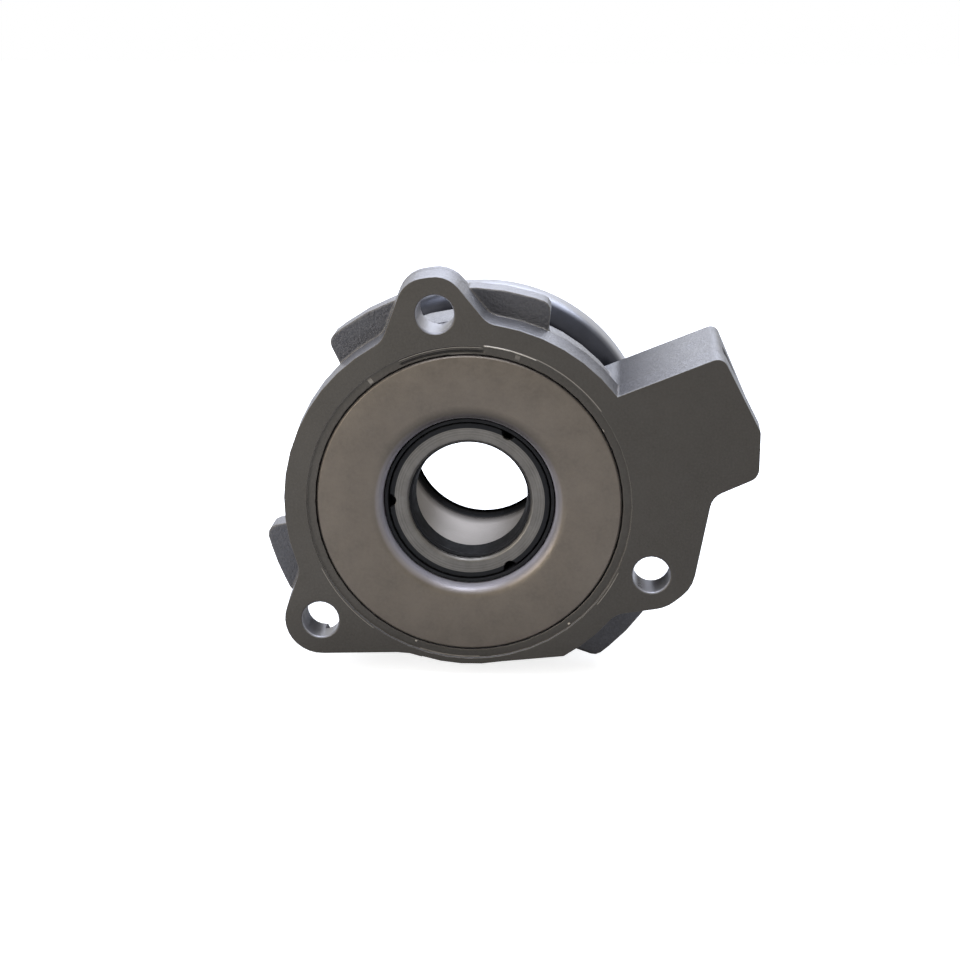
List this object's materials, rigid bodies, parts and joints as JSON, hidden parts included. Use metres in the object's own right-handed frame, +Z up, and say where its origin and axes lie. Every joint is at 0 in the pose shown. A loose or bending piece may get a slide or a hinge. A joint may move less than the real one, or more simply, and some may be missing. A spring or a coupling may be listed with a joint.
{
  "type": "clutch release bearing",
  "caption": "Hydraulic clutch release bearing: flanged cast housing with ears, angled fluid port block, guide sleeve with shaft seal, and a sprung bearing on an annular piston.",
  "frame": {"origin": "on the shaft axis, in the plane of the flange's front face, which lies on the gearbox", "axes": "+Y along the shaft axis from the mounting face towards the bearing's thrust face, +Z up as in the picture, +X towards the fluid port block"},
  "size_m": [0.0928, 0.0517, 0.0776],
  "materials": {
    "cast_aluminium": "satin",
    "drawn_steel": "satin",
    "black_rubber": "matte",
    "seal_steel": "satin",
    "spring_steel": "satin",
    "dark_steel": "satin",
    "bearing_steel": "polished",
    "piston_alloy": "satin",
    "cage_plastic": "matte",
    "ring_plastic": "matte"
  },
  "bodies": {
    "body_fixed": {"housing": "cast_aluminium", "guide_sleeve": "drawn_steel", "sleeve_o_ring": "black_rubber", "seal_case": "seal_steel", "seal_rubber": "black_rubber", "garter_spring": "spring_steel", "stop_ring": "spring_steel", "preload_spring": "spring_steel"},
    "body_piston": {"piston": "piston_alloy", "piston_seal": "black_rubber", "piston_guide_ring": "ring_plastic", "tube_wiper": "black_rubber", "bearing_cup": "dark_steel", "bearing_outer_ring": "bearing_steel", "bearing_seal": "black_rubber"},
    "body_rotor": {"bearing_inner_ring": "bearing_steel"},
    "body_cage": {"ball_cage": "cage_plastic", "ball_01": "bearing_steel", "ball_02": "bearing_steel", "ball_03": "bearing_steel", "ball_04": "bearing_steel", "ball_05": "bearing_steel", "ball_06": "bearing_steel", "ball_07": "bearing_steel", "ball_08": "bearing_steel", "ball_09": "bearing_steel", "ball_10": "bearing_steel", "ball_11": "bearing_steel", "ball_12": "bearing_steel", "ball_13": "bearing_steel", "ball_14": "bearing_steel"}
  },
  "joints": [
    {"name": "bearing_stroke", "type": "slide", "parent": "body_fixed", "child": "body_piston", "axis": [0, 1, 0], "range_m": [-0.008, 0], "stiffness_N_per_m": 2000, "springref_m": 0.02, "deforming": ["preload_spring"]},
    {"name": "bearing_spin", "type": "hinge", "parent": "body_piston", "child": "body_rotor", "pos_m": [0, 0.0433, 0], "axis": [0, 1, 0], "continuous": true},
    {"name": "cage_spin", "type": "hinge", "parent": "body_piston", "child": "body_cage", "pos_m": [0, 0.0433, 0], "axis": [0, 1, 0], "continuous": true}
  ],
  "couplings": [
    {"joint": "cage_spin", "follows": "bearing_spin", "ratio": 0.445}
  ]
}
